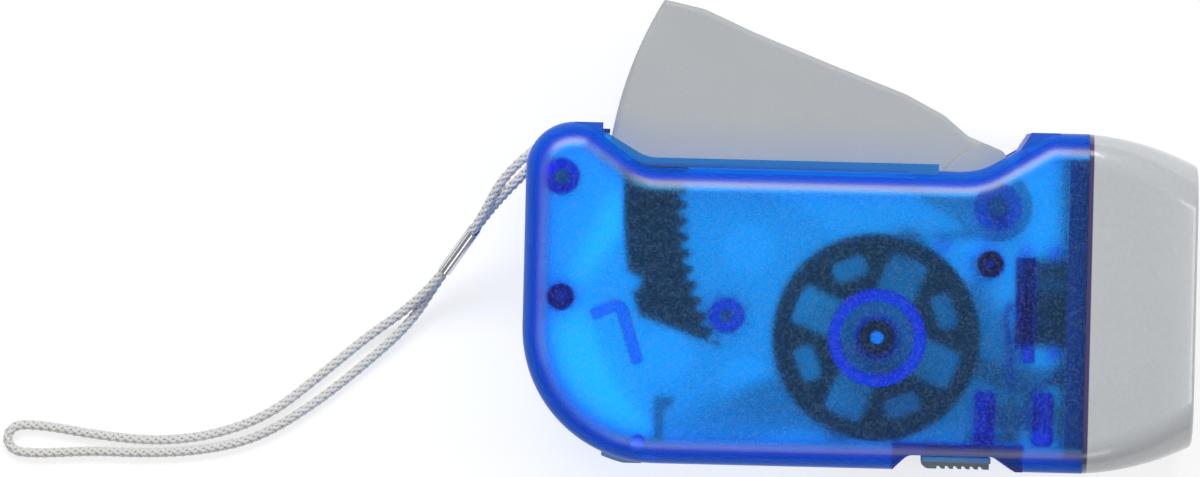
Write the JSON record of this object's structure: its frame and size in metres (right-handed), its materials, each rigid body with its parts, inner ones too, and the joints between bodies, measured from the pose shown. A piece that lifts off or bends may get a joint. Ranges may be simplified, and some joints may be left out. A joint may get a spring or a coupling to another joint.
{
  "type": "squeeze dynamo flashlight",
  "caption": "Hand-squeezed dynamo flashlight: translucent two-shell housing, hinged finger lever, gear train and flywheel, oblong lamp head, slide switch and wrist strap.",
  "frame": {"origin": "on the flat outer face of the back shell, under the flywheel spindle", "axes": "+X along the light to its lens, +Y to the finger lever, +Z out of the front shell"},
  "size_m": [0.1873, 0.0746, 0.034],
  "materials": {
    "clear_blue": "frosted translucent moulding",
    "grey_paint": "smooth silver-grey moulding",
    "knob_grey": "fine-textured moulding",
    "black_steel": "blackened steel",
    "bright_steel": "turned",
    "plated": "bright plated",
    "white_nylon": "natural nylon",
    "black_plastic": "moulded",
    "brass": "turned",
    "magnet": "sintered ferrite",
    "copper_wire": "enamelled winding",
    "board_green": "circuit board",
    "reflector_chrome": "vacuum metallised",
    "lens_clear": "clear moulding",
    "lamp_clear": "clear epoxy",
    "cell_steel": "nickel-plated can",
    "sleeve_film": "shrink film",
    "lead_blue": "wire insulation",
    "lead_red": "wire insulation",
    "strap_white": "braided cord"
  },
  "bodies": {
    "housing": {"front_shell": "clear_blue", "back_shell": "clear_blue", "shell_screws": "bright_steel", "pivot_pin": "bright_steel", "gear_axle": "bright_steel", "thrust_washer": "bright_steel", "front_bush": "brass", "back_bush": "brass", "lower_pole_plate": "bright_steel", "upper_pole_plate": "bright_steel", "coil_bobbin": "white_nylon", "coil_winding": "copper_wire", "stator_screws": "bright_steel", "switch_case": "plated", "switch_terminals": "brass", "lens_bezel": "grey_paint", "lens": "lens_clear", "reflector": "reflector_chrome", "led_board": "board_green", "board_screws": "bright_steel", "led_lamps": "lamp_clear", "led_legs": "plated", "button_cells": "cell_steel", "cell_sleeve": "sleeve_film", "cell_contacts": "plated", "switch_leads": "lead_blue", "coil_leads": "lead_red", "strap_cord": "strap_white", "strap_bight": "strap_white", "strap_pin": "bright_steel", "strap_ferrule": "plated"},
    "lever": {"lever": "grey_paint", "sector_rack": "black_plastic", "rack_screws": "bright_steel", "return_spring": "bright_steel"},
    "double_gear": {"double_gear": "white_nylon"},
    "clutch_pinion": {"clutch_pinion": "white_nylon"},
    "flywheel": {"flywheel": "black_steel", "clutch_hub": "white_nylon", "spindle": "bright_steel", "ring_magnet": "magnet"},
    "switch_knob": {"switch_knob": "knob_grey", "switch_nib": "black_plastic"},
    "lock_slider": {"lock_slider": "knob_grey"}
  },
  "joints": [
    {"name": "squeeze", "type": "hinge", "parent": "housing", "child": "lever", "pos_m": [0.01839, 0.02089, 0.017], "axis": [0, 0, 1], "range_deg": [0, 20], "stiffness_Nm_per_rad": 0.3, "springref_deg": -20.05, "deforming": ["return_spring"]},
    {"name": "double_gear_spin", "type": "hinge", "parent": "housing", "child": "double_gear", "pos_m": [-0.02352, 0.00293, 0.018], "axis": [0, 0, 1], "range_deg": [0, 305]},
    {"name": "clutch_pinion_spin", "type": "hinge", "parent": "housing", "child": "clutch_pinion", "pos_m": [0, 0, 0.018], "axis": [0, 0, 1], "range_deg": [-1886.45, 0]},
    {"name": "flywheel_spin", "type": "hinge", "parent": "clutch_pinion", "child": "flywheel", "pos_m": [0, 0, 0.023], "axis": [0, 0, 1], "continuous": true},
    {"name": "switch_slide", "type": "slide", "parent": "housing", "child": "switch_knob", "axis": [-1, 0, 0], "range_m": [0, 0.002]},
    {"name": "lock_slide", "type": "slide", "parent": "housing", "child": "lock_slider", "axis": [1, 0, 0], "range_m": [0, 0.002]}
  ],
  "couplings": [
    {"joint": "double_gear_spin", "follows": "squeeze", "ratio": 15.25},
    {"joint": "clutch_pinion_spin", "follows": "squeeze", "ratio": -94.273}
  ]
}
